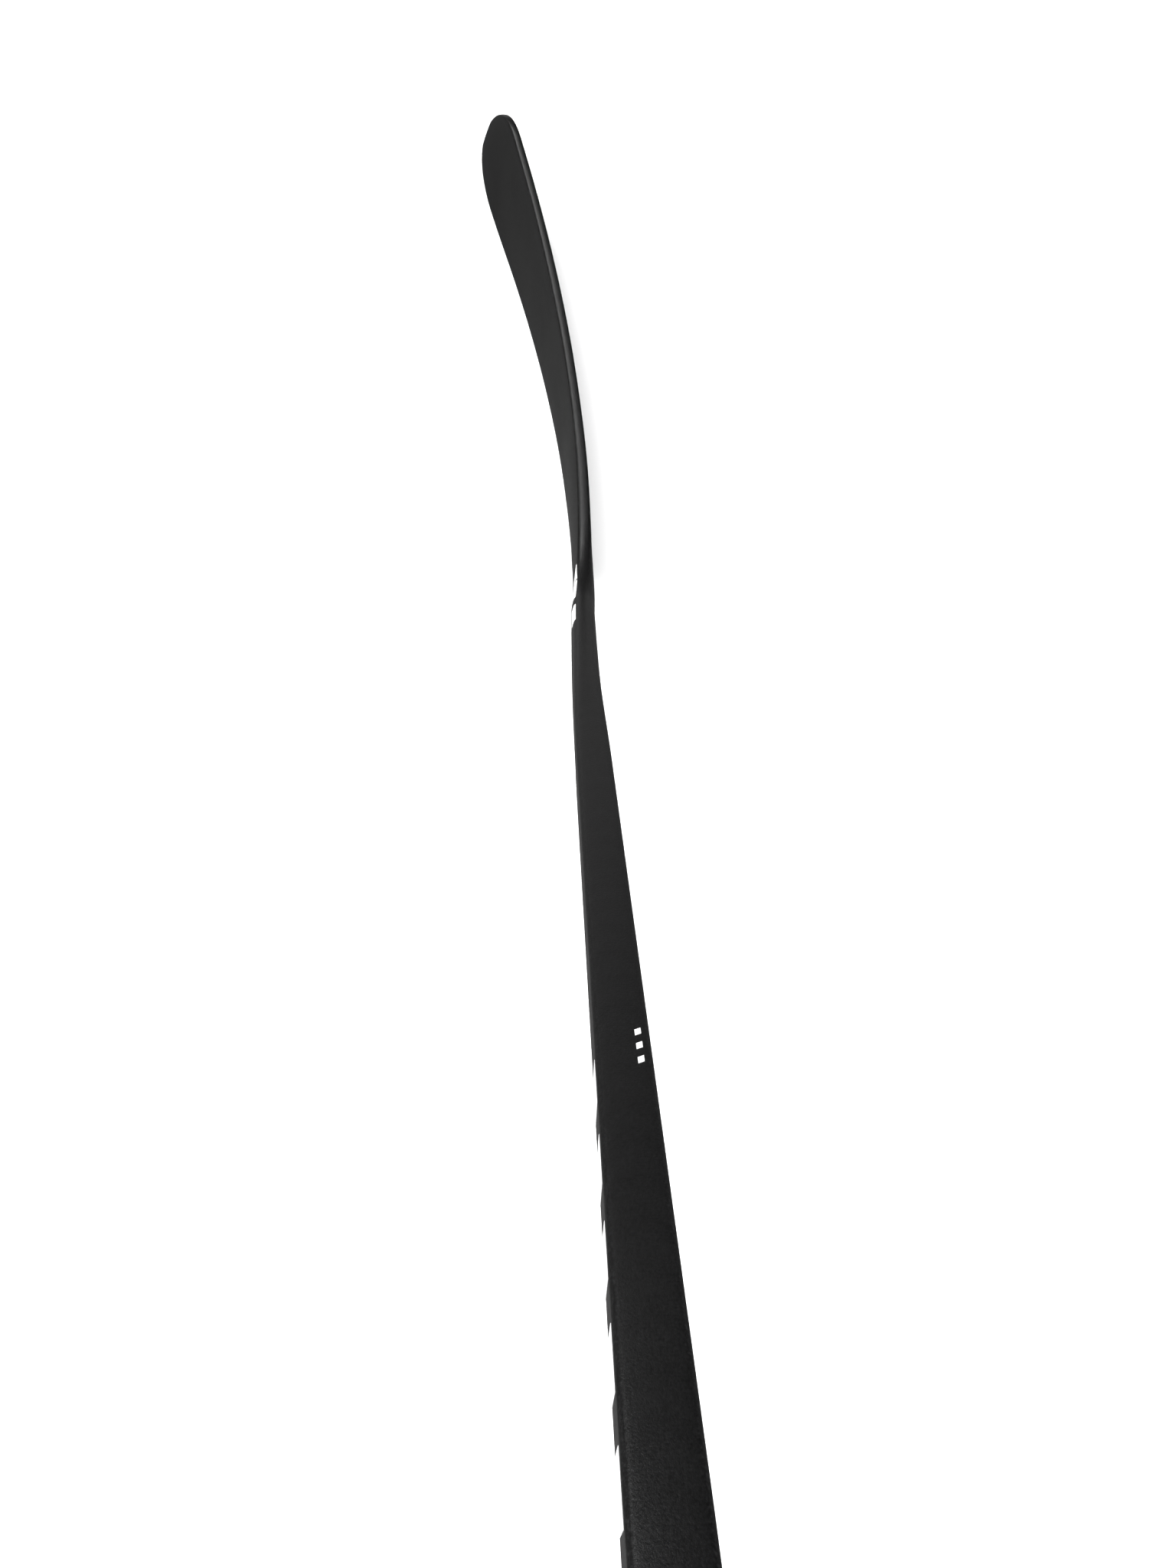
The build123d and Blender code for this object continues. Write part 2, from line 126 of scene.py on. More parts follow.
class HOCKEY_PG_finish(bpy.types.PropertyGroup):
    """Colours and finish."""

    lacquer: colour_property("Lacquer", (0.0022, 0.0022, 0.0023), "Colour of the satin lacquer")
    worn: colour_property("Rubbed edge", (0.020, 0.020, 0.021), "Colour of rubbed edges")
    ink: colour_property("Ink", (0.86, 0.86, 0.86), "Colour of the printed marks")
    faded_ink: colour_property("Faded ink", (0.20, 0.20, 0.20), "Colour of the worn streaks in the print")
    roughness: share_property("Roughness", 0.38, "Roughness of the satin lacquer")
    floor: colour_property("Floor", (0.93, 0.93, 0.93), "Colour of the floor")


class HOCKEY_PG_print(bpy.types.PropertyGroup):
    """The printed bars, dashes and blocks."""

    film: length_property("Film", 0.00012, "Thickness of the printed film")
    bars: IntProperty(name="Bars", default=9, min=1, description="Bars on each wide face")
    bars_start: length_property("Bars start", 0.4747, "Distance up the axis of the first bar")
    bar_length: length_property("Bar length", 0.027, "Length of one bar along the shaft")
    bar_space: length_property("Bar space", 0.0034, "Space between two bars")
    bar_slant: length_property("Bar slant", 0.009, "How far the ends of a bar lean")
    bar_margin: length_property("Bar margin", 0.001, "Bare strip between a bar and the corner")
    dashes: IntProperty(name="Dashes", default=3, min=1, description="Dashes on the toe-side face")
    dashes_start: length_property("Dashes start", 0.474, "Distance up the axis of the first dash")
    dash_length: length_property("Dash length", 0.0036, "Length of one dash along the shaft")
    dash_pitch: length_property("Dash pitch", 0.0062, "Distance from one dash to the next")
    dash_height: length_property("Dash height", 0.002, "Height of one dash across the face")
    block_length: length_property("Block length", 0.023, "Length of the block on the neck")
    block_height: length_property("Block height", 0.0040, "Height of the blocks across the face")
    block_space: length_property("Block space", 0.011, "Space between the neck's block and the throat's")
    block_swing: share_property("Block swing", 0.38, "How much of the throat's arc its block covers")
    tail_space: share_property("Tail space", 0.03, "Space between the throat's block and the tail")
    tail_height: length_property("Tail height", 0.0040, "Height of the tail where it starts")
    tail_end: share_property("Tail end", 0.66, "Where the tail's point is, as a share of the throat's arc")


def sizes():
    scene = bpy.context.scene
    return scene.hockey_shaft, scene.hockey_blade


# ---- the shape: slices across the stick ----

# The blade's middle moves sideways along a Bezier curve through these offsets, neck to toe.
CURVE_OFFSETS = (-0.0027, -0.0125, 0.0143, 0.0500)
# Lean of the blade's top edge away from the sole, for a slice of LEAN_HEIGHT.
NECK_LEAN = -0.0045
MIDDLE_LEAN = -0.0012
TOE_LEAN = -0.0161
LEAN_HEIGHT = 0.070
TOE_POWER = 2.2
# Length that the throat counts for on the curve, and how far before the toe's end it closes.
THROAT_SHARE = 0.060
TIP_ROUND = 0.0022
# How fast the neck's shape and its lean give way along the throat and blade.
SETTLE_RATE = 2.2
NECK_LEAN_RATE = 3.0
# Where the top edge reaches its full height, as a share of the blade.
FULL_HEIGHT_AT = 0.8

Section = namedtuple("Section", "top sole offset lean edge width corner skin")
ShaftSizes = namedtuple("ShaftSizes", "depth width corner taper_above bevel_above offset_above neck_above "
                        "neck_depth neck_width neck_edge neck_offset")


class Field:
    """A number that varies over a mesh or a surface, written with the usual arithmetic."""

    def __init__(self, graph, socket):
        self.graph = graph
        self.socket = socket

    def __add__(self, other):
        return self.graph.math("ADD", self, other)

    def __radd__(self, other):
        return self.graph.math("ADD", other, self)

    def __sub__(self, other):
        return self.graph.math("SUBTRACT", self, other)

    def __rsub__(self, other):
        return self.graph.math("SUBTRACT", other, self)

    def __mul__(self, other):
        return self.graph.math("MULTIPLY", self, other)

    def __rmul__(self, other):
        return self.graph.math("MULTIPLY", other, self)

    def __truediv__(self, other):
        return self.graph.math("DIVIDE", self, other)

    def __abs__(self):
        return self.graph.math("ABSOLUTE", self)

    def __pow__(self, power):
        return self.graph.math("POWER", self, power)


def clip(value, low, high):
    if isinstance(value, Field):
        return value.graph.math("MINIMUM", value.graph.math("MAXIMUM", value, low), high)
    return min(max(value, low), high)


def sine(value):
    return value.graph.math("SINE", value) if isinstance(value, Field) else sin(value)


def cosine(value):
    return value.graph.math("COSINE", value) if isinstance(value, Field) else cos(value)


def limit(value):
    return clip(value, 0.0, 1.0)


def ease(value):
    t = limit(value)
    return t * t * (3 - 2 * t)


def mix(start, end, share):
    return start + (end - start) * share


def between(start, end, count):
    return [mix(start, end, i / (count - 1)) for i in range(count)]


def shaft_sizes():
    shaft, blade = sizes()
    return ShaftSizes(shaft.depth, shaft.width, shaft.corner, shaft.taper_above, shaft.bevel_above,
                      shaft.offset_above, throat_place()[2], blade.neck_depth, blade.neck_width,
                      blade.neck_edge, CURVE_OFFSETS[0])


def shaft_rule(above, size):
    """Depth, middle width, edge width and sideways offset of the shaft at a distance up its axis."""
    taper = limit((size.taper_above - above) / (size.taper_above - size.neck_above))
    bevel = ease((size.bevel_above - above) / (size.bevel_above - size.neck_above))
    bend = 2 * ease((size.offset_above - above) / (size.offset_above - size.neck_above) / 2)
    depth = mix(size.depth, size.neck_depth, taper)
    width = mix(size.width, size.neck_width, taper)
    return depth, width, mix(width, size.neck_edge, bevel), size.neck_offset * bend


# How fast the corner's circle slides along the narrow and the wide faces: a slow slide leaves more crown.
NARROW_SLIDE = 2.0
WIDE_SLIDE = 8.0
# How strongly an outline's points crowd towards its wide faces and corners.
CROWDING = 0.42
# How fast the rubbed edge fades in, and the slide at which it starts.
RUBBED_FADE = 4.0
RUBBED_START = 0.9


def turn_rule(share):
    """The angle round an outline, with most points where the wide faces and corners are."""
    angle = 2 * pi * share
    return angle - CROWDING * sine(2 * angle)


def outline_rule(turn, tall, width, edge, corner, inset):
    """How far a point of the outline lies up and to the side of the slice's middle.

    The point goes round a circle of the corner's radius while the circle's middle slides along the
    faces, so the corners are round and the faces have a slight crown.
    """
    up = (tall / 2 - inset - corner) * clip(WIDE_SLIDE * sine(turn), -1, 1) + corner * sine(turn)
    half = edge / 2 + (width - edge) / 2 * (1 - (2 * up / tall) ** 2)
    side = (half - inset - corner) * clip(NARROW_SLIDE * cosine(turn), -1, 1) + corner * cosine(turn)
    return up, side


def corner_rule(turn):
    """1 on a corner and 0 on a face."""
    off_wide = limit(RUBBED_FADE * (WIDE_SLIDE * abs(sine(turn)) - RUBBED_START))
    return off_wide * limit(RUBBED_FADE * (NARROW_SLIDE * abs(cosine(turn)) - RUBBED_START))


def face_rule(across, half_span, reach, corner, slide):
    """How far a face stands out, at a distance from its middle line."""
    sine_of_turn = across / ((half_span - corner) * slide + corner)
    return reach - corner * (1 - (1 - sine_of_turn**2) ** 0.5)


def throat_place():
    """Centre of the throat's arc (x and z) and how far up the axis the throat starts."""
    blade = sizes()[1]
    z = blade.heel_height + blade.throat_radius
    x = (blade.neck_depth / 2 + blade.throat_radius - z * cos(LIE)) / sin(LIE)
    return x, z, z * sin(LIE) - x * cos(LIE)


def curve_offset(share):
    """Sideways place of the blade's middle, at a share of the way from the neck to the toe."""
    a, b, c, d = CURVE_OFFSETS
    rest = 1 - share
    return a * rest**3 + 3 * b * rest**2 * share + 3 * c * rest * share**2 + d * share**3


def shaft_section(above):
    """A slice square to the shaft's axis, at a distance up it."""
    shaft, blade = sizes()
    depth, width, edge, offset = shaft_rule(above, shaft_sizes())
    middle = UP_SHAFT * above
    reach = TOE_SIDE * (depth / 2)
    return Section(middle + reach, middle - reach, offset, 0.0, edge, width, shaft.corner, blade.neck_skin)


def blend_section(top, sole, travelled):
    """A slice of the throat or blade, at a distance travelled from the neck."""
    shaft, blade = sizes()
    share = travelled / (THROAT_SHARE + BLADE_END + BLADE_TIP_CUT - throat_place()[0])
    settled = ease(SETTLE_RATE * share)
    edge = mix(blade.neck_edge, blade.heel_edge, settled) + (blade.toe_edge - blade.heel_edge) * share
    width = mix(blade.neck_width, blade.heel_width, settled) + (blade.toe_width - blade.heel_width) * share
    lean = NECK_LEAN * ease(NECK_LEAN_RATE * share) + MIDDLE_LEAN * share + TOE_LEAN * share**2
    corner = mix(shaft.corner, blade.corner, settled)
    skin = mix(blade.neck_skin, blade.blade_skin, settled)
    return Section(top, sole, curve_offset(share), lean, edge, width, corner, skin)


def throat_section(turn):
    """A slice along a radius of the throat, from 0 at the neck to 1 at the blade."""
    blade = sizes()[1]
    x, z, above = throat_place()
    swing = (pi / 2 - LIE) * turn
    direction = TOE_SIDE * -cos(swing) - UP_SHAFT * sin(swing)
    to_heel_side = (blade.throat_radius + blade.neck_depth) / cos(swing)
    to_ice = z / cos(pi / 2 - LIE - swing)
    soft = blade.heel_blend
    reach = -soft * log(exp(-to_heel_side / soft) + exp(-to_ice / soft))
    centre = Vector((x, 0, z))
    top = centre + direction * blade.throat_radius
    return blend_section(top, centre + direction * reach, THROAT_SHARE * turn)


def blade_section(x):
    """An upright slice of the blade."""
    blade = sizes()[1]
    start = throat_place()[0]
    toe = BLADE_END + BLADE_TIP_CUT
    share = (x - start) / (toe - start)
    full = mix(blade.heel_height, blade.blade_height, sin(limit(share / FULL_HEIGHT_AT) * pi / 2))
    top_round = limit((x - toe + blade.top_round) / blade.top_round)
    sole_round = limit((x - toe + blade.sole_round) / blade.sole_round)
    top = mix(blade.tip_height, full, sqrt(1 - top_round**TOE_POWER))
    sole = blade.tip_height * (1 - sqrt(1 - sole_round**TOE_POWER))
    section = blend_section(Vector((x, 0, top)), Vector((x, 0, sole)), THROAT_SHARE + x - start)
    close = sqrt(max(1 - limit((x - toe + TIP_ROUND) / TIP_ROUND) ** 2, 0))
    return section._replace(edge=section.edge * close, width=section.width * close)


def place(section, up, side):
    """The point at a height up from the sole and a distance to the side of the leaning middle."""
    span = section.top - section.sole
    tall = max(span.length, 1e-7)
    share = up / tall
    lean = section.lean * (share - 0.5) * min(tall / LEAN_HEIGHT, 1)
    return section.sole + span * share + FOREHAND * (section.offset + lean + side)


# Points along half an outline, and the corner's least radius on its inner side.
HALF_STEPS = 48
LEAST_CORNER = 0.3 * MM
# An inset goes no further in than this share of a slice's height and edge.
DEEPEST_INSET = 0.40
# Room between the lacquer and a printed film, how far round the corner a block on the neck is
# printed, how high the tail is at its point, and the points across a block.
FILM_LIFT = 0.06 * MM
BLOCK_WRAP = radians(28)
TAIL_POINT = 0.5 * MM
BLOCK_STEPS = 16


def side_profile(section, inset):
    """Half an outline from the sole's seam to the top's seam: (up, side, how near a corner)."""
    tall = max((section.top - section.sole).length, 1e-6)
    inset = min(inset, DEEPEST_INSET * tall, DEEPEST_INSET * section.edge)
    corner = min(max(section.corner - inset, LEAST_CORNER), tall / 2 - inset, section.edge / 2 - inset)
    points = []
    for share in between(-0.25, 0.25, HALF_STEPS + 1):
        turn = turn_rule(share)
        up, side = outline_rule(turn, tall, section.width, section.edge, corner, inset)
        points.append((up + tall / 2, side, corner_rule(turn) if inset == 0.0 else -1.0))
    return points


def half_ring(section, hand):
    """The C-shaped outline of one half of the shell: outer surface, then inner surface back."""
    ring = side_profile(section, 0.0) + side_profile(section, section.skin)[::-1]
    return [(place(section, up, hand * side), near) for up, side, near in ring]


def film_ring(section, block_height, wrap, film):
    """The outline of a printed block that runs up the forehand side and onto its corner."""
    tall = (section.top - section.sole).length
    flat = tall / 2 - section.corner
    low = asin((flat - block_height) / (flat * WIDE_SLIDE + section.corner))
    layers = []
    for gap in (FILM_LIFT, FILM_LIFT + film):
        layer = []
        for turn in between(low, asin(1 / WIDE_SLIDE) + wrap, BLOCK_STEPS):
            up, side = outline_rule(turn, tall, section.width, section.edge, section.corner, 0.0)
            spot = place(section, up + tall / 2 + gap * sin(turn), side + gap * cos(turn))
            layer.append((spot, 0.0))
        layers.append(layer)
    return layers[0] + layers[1][::-1]


# ---- meshes ----

MERGE_DISTANCE = 2e-6
THINNEST_EDGE = 1e-7
SHARP_ANGLE = radians(40)


def finish_mesh(mesh):
    """Close the seams, turn the faces outwards and shade the mesh smooth."""
    work = bmesh.new()
    work.from_mesh(mesh)
    bmesh.ops.remove_doubles(work, verts=work.verts, dist=MERGE_DISTANCE)
    bmesh.ops.dissolve_degenerate(work, edges=work.edges, dist=THINNEST_EDGE)
    bmesh.ops.recalc_face_normals(work, faces=work.faces)
    work.to_mesh(mesh)
    work.free()
    mesh.shade_smooth()
    mesh.set_sharp_from_angle(angle=SHARP_ANGLE)


def closed_strip(name, rings, material):
    """A strip through folded rings, closed at both ends; a ring's second half runs back over its first."""
    size, count = len(rings[0]), len(rings)
    points = [tuple(point) for ring in rings for point, near in ring]
    faces = []
    for first in range(0, (count - 1) * size, size):
        for j in range(size):
            k = (j + 1) % size
            faces.append((first + j, first + k, first + size + k, first + size + j))
    for first in (0, (count - 1) * size):
        for j in range(size // 2 - 1):
            faces.append((first + j, first + j + 1, first + size - 2 - j, first + size - 1 - j))
    mesh = bpy.data.meshes.new(name)
    mesh.from_pydata(points, [], faces)
    near = [value for ring in rings for point, value in ring]
    mesh.attributes.new("edge", "FLOAT", "POINT").data.foreach_set("value", near)
    mesh.materials.append(material)
    finish_mesh(mesh)
    strip = bpy.data.objects.new(name, mesh)
    bpy.context.scene.collection.objects.link(strip)
    return strip


# ---- node graphs ----

class Graph:
    """A short way to build a tree of nodes."""

    def add(self, kind, links=None, **values):
        node = self.tree.nodes.new(kind)
        for key, value in values.items():
            setattr(node, key, value)
        for socket, value in (links or {}).items():
            self.feed(node.inputs[socket], value)
        return node

    def feed(self, socket, value):
        if isinstance(value, Field):
            value = value.socket
        if isinstance(value, bpy.types.NodeSocket):
            self.tree.links.new(value, socket)
        else:
            socket.default_value = value

    def math(self, operation, *values):
        node = self.add("ShaderNodeMath", operation=operation)
        for socket, value in zip(node.inputs, values):
            self.feed(socket, value)
        return Field(self, node.outputs[0])


class Shape(Graph):
    """A Geometry Nodes tree with named inputs."""

    def __init__(self, name, inputs):
        self.name = name
        self.tree = bpy.data.node_groups.new(name, "GeometryNodeTree")
        self.values = {}
        for label, value in inputs.items():
            kind = "NodeSocketInt" if isinstance(value, int) else "NodeSocketFloat"
            socket = self.tree.interface.new_socket(label, in_out="INPUT", socket_type=kind)
            self.values[socket.identifier] = value
        self.tree.interface.new_socket("Mesh", in_out="OUTPUT", socket_type="NodeSocketGeometry")
        given = self.tree.nodes.new("NodeGroupInput")
        self.given = {label: Field(self, given.outputs[label]) for label in inputs}
        self.result = self.tree.nodes.new("NodeGroupOutput").inputs[0]
        place_now = self.add("GeometryNodeInputPosition").outputs[0]
        parts = self.add("ShaderNodeSeparateXYZ", {"Vector": place_now})
        self.x, self.y = Field(self, parts.outputs[0]), Field(self, parts.outputs[1])

    def grid(self, columns, rows):
        """A flat square from -0.5 to 0.5."""
        counts = {"Size X": 1.0, "Size Y": 1.0, "Vertices X": columns, "Vertices Y": rows}
        return self.add("GeometryNodeMeshGrid", counts).outputs[0]

    def moved(self, geometry, x, y, z):
        place_at = self.add("ShaderNodeCombineXYZ", {0: x, 1: y, 2: z}).outputs[0]
        return self.add("GeometryNodeSetPosition", {"Geometry": geometry, "Position": place_at}).outputs[0]

    def on_stick(self, geometry, above, up, side):
        """Take a point from distances along the axis, towards the toe side and towards the forehand."""
        x = above * UP_SHAFT.x + up * TOE_SIDE.x
        z = above * UP_SHAFT.z + up * TOE_SIDE.z
        return self.moved(geometry, x, side, z)

    def flipped(self, geometry):
        return self.add("GeometryNodeFlipFaces", {0: geometry}).outputs[0]

    def joined(self, *geometries):
        node = self.add("GeometryNodeJoinGeometry")
        for geometry in geometries:
            self.tree.links.new(geometry, node.inputs[0])
        return node.outputs[0]

    def marked(self, geometry, value):
        """Store how near a corner each point is, for rubbed edges."""
        links = {"Geometry": geometry, "Name": "edge", "Value": value}
        node = self.add("GeometryNodeStoreNamedAttribute", links, data_type="FLOAT", domain="POINT")
        return node.outputs[0]

    def build(self, name, geometry, material):
        """Finish the tree, run it on a new object and keep only its plain mesh."""
        seams = {"Geometry": geometry, "Distance": MERGE_DISTANCE}
        closed = self.add("GeometryNodeMergeByDistance", seams).outputs[0]
        realized = self.add("GeometryNodeRealizeInstances", {0: closed}).outputs[0]
        finished = self.add("GeometryNodeSetMaterial", {"Geometry": realized, "Material": material})
        self.tree.links.new(finished.outputs[0], self.result)
        piece = bpy.data.objects.new(name, bpy.data.meshes.new(name))
        modifier = piece.modifiers.new(self.name, "NODES")
        modifier.node_group = self.tree
        for identifier, value in self.values.items():
            modifier[identifier] = value
        bpy.context.scene.collection.objects.link(piece)
        evaluated = piece.evaluated_get(bpy.context.evaluated_depsgraph_get())
        mesh = bpy.data.meshes.new_from_object(evaluated)
        piece.modifiers.clear()
        piece.data = mesh
        finish_mesh(mesh)
        return piece


RING_POINTS = 96
# How strongly a tube's stations crowd towards its lower end, where it tapers.
STATION_CROWDING = 1.7


def tube_along_shaft(name, start, end, wall, stations, material):
    """A hollow length of the shaft between two distances up its axis."""
    size = shaft_sizes()
    inputs = {"Start": start, "End": end, "Wall": wall, "Stations": stations, "Ring points": RING_POINTS + 1}
    inputs.update(size._asdict())
    shape = Shape(name, inputs)
    given = shape.given
    rule = ShaftSizes(*[given[label] for label in ShaftSizes._fields])
    around = turn_rule(shape.y + 0.5)

    def surface(columns, along, inset, near):
        grid = shape.marked(shape.grid(columns, given["Ring points"]), near)
        above = mix(given["Start"], given["End"], along)
        depth, width, edge, offset = shaft_rule(above, rule)
        up, side = outline_rule(around, depth, width, edge, rule.corner - inset, inset)
        return shape.on_stick(grid, above, up, side + offset)

    along = (shape.x + 0.5) ** STATION_CROWDING
    outer = surface(given["Stations"], along, 0.0, corner_rule(around))
    inner = surface(given["Stations"], along, given["Wall"], -1.0)
    depth_in_wall = (shape.x + 0.5) * given["Wall"]
    low_end = surface(2, 0.0, depth_in_wall, 0.0)
    high_end = surface(2, 1.0, depth_in_wall, 0.0)
    whole = shape.joined(outer, shape.flipped(inner), shape.flipped(low_end), high_end)
    return shape.build(name, whole, material)


# Half the length and half the height of a bar's slot, as shares of the bar.
SLOT_SPAN = (0.17, 0.08)


def row_of(shape, count, start, step, **instance):
    """Copies of a shape in a row along X, made real."""
    starts = shape.add("ShaderNodeCombineXYZ", {0: start}).outputs[0]
    steps = shape.add("ShaderNodeCombineXYZ", {0: step}).outputs[0]
    line = {"Count": count, "Start Location": starts, "Offset": steps}
    points = shape.add("GeometryNodeMeshLine", line).outputs[0]
    links = {"Points": points}
    links.update(instance)
    row = shape.add("GeometryNodeInstanceOnPoints", links).outputs[0]
    return shape.add("GeometryNodeRealizeInstances", {0: row}).outputs[0]


def film_from(shape, base, film):
    """A closed film that stands on a sheet of faces."""
    raised = shape.add("GeometryNodeExtrudeMesh", {"Mesh": base, "Offset Scale": film, "Individual": False})
    return shape.joined(raised.outputs[0], shape.flipped(base))


def bars_on_face(name, hand, material):
    """A row of slanted bars on a wide face; every second bar has a slot."""
    marks = bpy.context.scene.hockey_print
    inputs = {"Bars": marks.bars, "Start": marks.bars_start, "Length": marks.bar_length,
              "Space": marks.bar_space, "Slant": marks.bar_slant, "Margin": marks.bar_margin,
              "Film": marks.film, "Lift": FILM_LIFT, "Hand": float(hand)}
    inputs.update(shaft_sizes()._asdict())
    shape = Shape(name, inputs)
    given = shape.given
    rule = ShaftSizes(*[given[label] for label in ShaftSizes._fields])
    sheet = shape.grid(10, 8)
    in_slot = (shape.math("LESS_THAN", abs(shape.x), SLOT_SPAN[0])
               * shape.math("LESS_THAN", abs(shape.y), SLOT_SPAN[1]))
    cut = {"Geometry": sheet, "Selection": in_slot}
    slotted = shape.add("GeometryNodeDeleteGeometry", cut, domain="FACE")
    lengthwise = (shape.x + 0.5) * (given["Length"] - given["Slant"]) + (shape.y + 0.5) * given["Slant"]
    bars = [shape.moved(bar, lengthwise, shape.y, 0.0) for bar in (sheet, slotted.outputs[0])]
    choice = shape.add("GeometryNodeGeometryToInstance")
    for bar in bars:
        shape.tree.links.new(bar, choice.inputs[0])
    index = Field(shape, shape.add("GeometryNodeInputIndex").outputs[0])
    every_second = {"Pick Instance": True, "Instance Index": shape.math("MODULO", index, 2.0)}
    step = given["Length"] + given["Space"]
    real = row_of(shape, given["Bars"], given["Start"], step, Instance=choice.outputs[0], **every_second)
    depth, width, edge, offset = shaft_rule(shape.x, rule)
    up = shape.y * (depth - 2 * (rule.corner + given["Margin"]))
    side = face_rule(up, depth / 2, width / 2, rule.corner, WIDE_SLIDE) + given["Lift"]
    base = shape.on_stick(real, shape.x, up, given["Hand"] * side)
    outwards = base if hand > 0 else shape.flipped(base)
    return shape.build(name, film_from(shape, outwards, given["Film"]), material)


def dashes_on_face(name, material):
    """A short row of slanted dashes on the toe-side face, close to its backhand corner."""
    marks = bpy.context.scene.hockey_print
    inputs = {"Dashes": marks.dashes, "Start": marks.dashes_start, "Length": marks.dash_length,
              "Pitch": marks.dash_pitch, "Height": marks.dash_height, "Film": marks.film,
              "Lift": FILM_LIFT}
    inputs.update(shaft_sizes()._asdict())
    shape = Shape(name, inputs)
    given = shape.given
    rule = ShaftSizes(*[given[label] for label in ShaftSizes._fields])
    slant = given["Height"] / 2
    lengthwise = (shape.x + 0.5) * (given["Length"] - slant) + (shape.y + 0.5) * slant
    dash = shape.moved(shape.grid(5, 5), lengthwise, shape.y * given["Height"], 0.0)
    real = row_of(shape, given["Dashes"], given["Start"], given["Pitch"], Instance=dash)
    depth, width, edge, offset = shaft_rule(shape.x, rule)
    across = shape.y - (width / 2 - rule.corner - given["Height"] / 2)
    up = face_rule(across, width / 2, depth / 2, rule.corner, NARROW_SLIDE) + given["Lift"]
    base = shape.on_stick(real, shape.x, up, across)
    return shape.build(name, film_from(shape, shape.flipped(base), given["Film"]), material)


# ---- materials ----

class Nodes(Graph):
    """A short way to build a material's nodes."""

    def __init__(self, name):
        self.material = bpy.data.materials.new(name)
        self.material.use_nodes = True
        self.tree = self.material.node_tree
        self.shader = self.tree.nodes["Principled BSDF"]

    def place(self, scale=(1, 1, 1), turn=0.0):
        """Object coordinates, turned about Y so that X runs along the piece, then scaled."""
        coordinates = self.add("ShaderNodeTexCoord").outputs["Object"]
        turned = self.add("ShaderNodeMapping", {"Vector": coordinates, "Rotation": (0, turn, 0)})
        return self.add("ShaderNodeMapping", {"Vector": turned.outputs[0], "Scale": scale}).outputs[0]

    def noise(self, where, scale, detail=2.0, roughness=0.5):
        links = {"Vector": where, "Scale": scale, "Detail": detail, "Roughness": roughness}
        return Field(self, self.add("ShaderNodeTexNoise", links).outputs["Fac"])

    def ramp(self, value, low, high, start=0.0, end=1.0):
        links = {"Value": value, "From Min": low, "From Max": high, "To Min": start, "To Max": end}
        return Field(self, self.add("ShaderNodeMapRange", links).outputs[0])

    def blend(self, share, first, second):
        node = self.add("ShaderNodeMix", data_type="RGBA")
        self.feed(node.inputs["Factor"], share)
        self.feed(node.inputs[6], first)
        self.feed(node.inputs[7], second)
        return node.outputs[2]

    def bump(self, height, distance, strength=1.0):
        node = self.add("ShaderNodeBump", {"Height": height, "Distance": distance, "Strength": strength})
        self.feed(self.shader.inputs["Normal"], node.outputs[0])

    def set(self, **values):
        names = {"colour": "Base Color", "roughness": "Roughness", "specular": "Specular IOR Level"}
        for key, value in values.items():
            self.feed(self.shader.inputs[names[key]], value)


def opaque(colour):
    return (*colour, 1.0)


def weave(nodes, where, pitch):
    """A twill pattern, 0 to 1, from two crossed waves."""
    parts = nodes.add("ShaderNodeSeparateXYZ", {"Vector": where})
    along = Field(nodes, parts.outputs[0]) * (2 * pi / pitch)
    across = Field(nodes, parts.outputs[2]) * (2 * pi / pitch)
    return nodes.ramp(sine(along + across) * sine(along - across), -1.0, 1.0)


def lacquer_material(name, turn):
    """Satin black lacquer: fine stipple, faint laminate below it, rubbed edges and a few specks."""
    finish = bpy.context.scene.hockey_finish
    nodes = Nodes(name)
    where = nodes.place((1, 1, 1), turn)
    stipple = nodes.noise(where, 1500.0, 3.0, 0.75)
    peel = nodes.noise(where, 900.0, 2.0)
    streaks = nodes.noise(nodes.place((14, 160, 160), turn), 6.0, 3.0)
    cloud = nodes.noise(where, 22.0, 3.0)
    cloth = weave(nodes, where, 0.0021)
    darker = opaque([value * 0.35 for value in finish.lacquer])
    lighter = opaque([value * 2.2 for value in finish.lacquer])
    tone = cloth * 0.12 + streaks * 0.25 + stipple * 0.95
    colour = nodes.blend(nodes.ramp(tone, 0.42, 0.94), darker, lighter)
    edge = nodes.add("ShaderNodeAttribute", attribute_name="edge").outputs["Fac"]
    scuffs = nodes.ramp(nodes.noise(nodes.place((60, 500, 500), turn), 3.0, 4.0), 0.52, 0.66)
    rubbed = nodes.math("MAXIMUM", edge, 0.0) * scuffs
    colour = nodes.blend(rubbed * 0.45, colour, opaque(finish.worn))
    dust = nodes.add("ShaderNodeTexVoronoi", {"Vector": where, "Scale": 95.0}).outputs["Distance"]
    chance = nodes.noise(where, 31.0, 0.0)
    specks = nodes.ramp(dust, 0.036, 0.024) * nodes.ramp(chance, 0.66, 0.70)
    colour = nodes.blend(specks * 0.8, colour, (0.14, 0.14, 0.14, 1))
    rough = nodes.ramp(cloud, 0.3, 0.7, -0.03, 0.03) + nodes.ramp(stipple, 0.3, 0.7, -0.05, 0.05)
    nodes.set(colour=colour, roughness=rough + finish.roughness, specular=0.45)
    nodes.bump(stipple + peel * 0.4 + cloth * 0.06, 0.00011, 0.9)
    return nodes.material


# Distances up the axis where the streaks in the ink start and where they are full.
WEAR_START = 0.612
WEAR_FULL = 0.634


